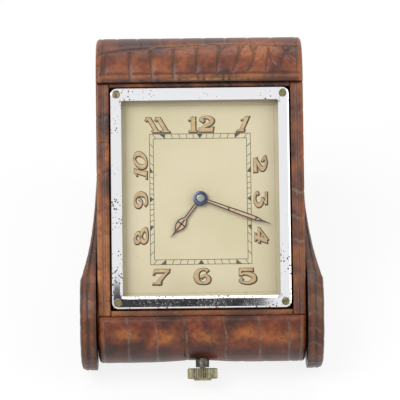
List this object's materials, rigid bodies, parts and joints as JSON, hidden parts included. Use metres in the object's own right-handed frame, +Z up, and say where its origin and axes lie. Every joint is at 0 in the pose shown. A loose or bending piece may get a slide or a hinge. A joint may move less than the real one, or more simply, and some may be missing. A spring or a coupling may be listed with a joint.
{
  "type": "travel clock",
  "caption": "Folding travel clock with a cream dial and chrome bezel in a leather-covered case that leans back in a hinged leather stand, wound by a knurled knob at the bottom.",
  "frame": {"origin": "middle of the footprint, on the table under the stand", "axes": "+X to the right as the dial is read, +Y from the dial's side to the back, +Z up"},
  "size_m": [0.0818, 0.1148, 0.0902],
  "materials": {
    "leather": "red-brown grained leather, worn at the edges",
    "wood": "raw wood",
    "chrome": "polished, pitted with age",
    "screw_nickel": "nickel worn to a yellowish tone",
    "glass": "clear",
    "tinned_sheet": "dull tinned sheet",
    "cream_enamel": "matt cream paint",
    "brass": "brushed",
    "steel": "polished",
    "blued_steel": "heat-blued steel",
    "knob_nickel": "nickel plate, knurled"
  },
  "bodies": {
    "case": {"case_carcass": "wood", "top_roll_leather": "leather", "bottom_roll_leather": "leather", "rail_leather_left": "leather", "rail_leather_right": "leather", "top_band_leather": "leather", "bottom_band_leather": "leather", "case_back": "leather", "hinge_bush_left": "brass", "hinge_bush_right": "brass", "stem_ferrule": "steel", "bezel": "chrome", "glass": "glass", "movement_band": "tinned_sheet", "movement_cover": "tinned_sheet", "dial": "cream_enamel", "main_plate": "brass", "back_plate": "brass", "balance_cock": "brass", "hairspring": "blued_steel", "bezel_screw_lower_left": "screw_nickel", "bezel_screw_upper_left": "screw_nickel", "bezel_screw_lower_right": "screw_nickel", "bezel_screw_upper_right": "screw_nickel", "plate_pillar_lower_left": "brass", "plate_pillar_upper_left": "brass", "plate_pillar_lower_right": "brass", "plate_pillar_upper_right": "brass"},
    "stand": {"stand_cheek_left": "leather", "stand_cheek_right": "leather", "stand_floor": "leather", "hinge_pin_left": "steel", "hinge_pin_right": "steel"},
    "minute_arbor": {"minute_hand": "blued_steel", "hand_nut": "steel", "cannon_pinion": "steel", "centre_wheel": "brass"},
    "hour_pipe": {"hour_hand": "blued_steel", "hour_wheel": "brass"},
    "minute_wheel_body": {"minute_wheel": "brass"},
    "third_arbor": {"third_wheel": "brass"},
    "fourth_arbor": {"fourth_wheel": "brass"},
    "escape_arbor": {"escape_wheel": "steel"},
    "lever": {"pallet_lever": "steel"},
    "balance": {"balance_wheel": "brass"},
    "going_barrel": {"barrel": "brass", "mainspring": "steel"},
    "winding_arbor": {"barrel_arbor": "steel", "ratchet_wheel": "steel"},
    "crown": {"crown_wheel": "steel"},
    "sleeve": {"stem_sleeve": "steel"},
    "knob": {"winding_knob": "knob_nickel", "winding_stem": "steel", "winding_pinion": "steel"}
  },
  "joints": [
    {"name": "case_hinge", "type": "hinge", "parent": "stand", "child": "case", "pos_m": [0, -0.03659, 0.0183], "axis": [1, 0, 0], "range_deg": [-45, 8]},
    {"name": "minute_turn", "type": "hinge", "parent": "case", "child": "minute_arbor", "pos_m": [0, -0.00902, 0.04588], "axis": [0, 0.7071, -0.7071], "continuous": true},
    {"name": "hour_turn", "type": "hinge", "parent": "case", "child": "hour_pipe", "pos_m": [0, -0.00902, 0.04588], "axis": [0, 0.7071, -0.7071], "continuous": true},
    {"name": "minute_wheel_turn", "type": "hinge", "parent": "case", "child": "minute_wheel_body", "pos_m": [0.0036, -0.01342, 0.04147], "axis": [0, 0.7071, -0.7071], "continuous": true},
    {"name": "third_turn", "type": "hinge", "parent": "case", "child": "third_arbor", "pos_m": [0.00672, -0.00078, 0.05411], "axis": [0, 0.7071, -0.7071], "continuous": true},
    {"name": "fourth_turn", "type": "hinge", "parent": "case", "child": "fourth_arbor", "pos_m": [-0.00302, 0.00319, 0.05808], "axis": [0, 0.7071, -0.7071], "continuous": true},
    {"name": "escape_turn", "type": "hinge", "parent": "case", "child": "escape_arbor", "pos_m": [-0.01267, 0.00071, 0.0556], "axis": [0, 0.7071, -0.7071], "continuous": true},
    {"name": "barrel_turn", "type": "hinge", "parent": "case", "child": "going_barrel", "pos_m": [-0.01188, -0.01741, 0.03748], "axis": [0, 0.7071, -0.7071], "continuous": true},
    {"name": "winding_arbor_turn", "type": "hinge", "parent": "case", "child": "winding_arbor", "pos_m": [-0.01188, -0.01741, 0.03748], "axis": [0, 0.7071, -0.7071], "continuous": true},
    {"name": "crown_turn", "type": "hinge", "parent": "case", "child": "crown", "pos_m": [-0.005, -0.02684, 0.02805], "axis": [0, 0.7071, -0.7071], "continuous": true},
    {"name": "lever_swing", "type": "hinge", "parent": "case", "child": "lever", "pos_m": [-0.01678, 0.00418, 0.05907], "axis": [0, 0.7071, -0.7071], "range_deg": [-5, 5]},
    {"name": "balance_swing", "type": "hinge", "parent": "case", "child": "balance", "pos_m": [-0.01935, 0.00634, 0.06123], "axis": [0, 0.7071, -0.7071], "range_deg": [-120, 120], "stiffness_Nm_per_rad": 0.000002},
    {"name": "knob_pull", "type": "slide", "parent": "case", "child": "sleeve", "axis": [0, -0.7071, -0.7071], "range_m": [0, 0.0012]},
    {"name": "knob_turn", "type": "hinge", "parent": "sleeve", "child": "knob", "pos_m": [0, -0.03871, 0.02042], "axis": [0, -0.7071, -0.7071], "continuous": true}
  ],
  "couplings": [
    {"joint": "hour_turn", "follows": "minute_turn", "ratio": 0.083333},
    {"joint": "minute_wheel_turn", "follows": "minute_turn", "ratio": -0.33333},
    {"joint": "third_turn", "follows": "minute_turn", "ratio": -6},
    {"joint": "barrel_turn", "follows": "minute_turn", "ratio": -0.16667},
    {"joint": "crown_turn", "follows": "knob_turn", "ratio": 0.75},
    {"joint": "winding_arbor_turn", "follows": "knob_turn", "ratio": -0.375}
  ]
}
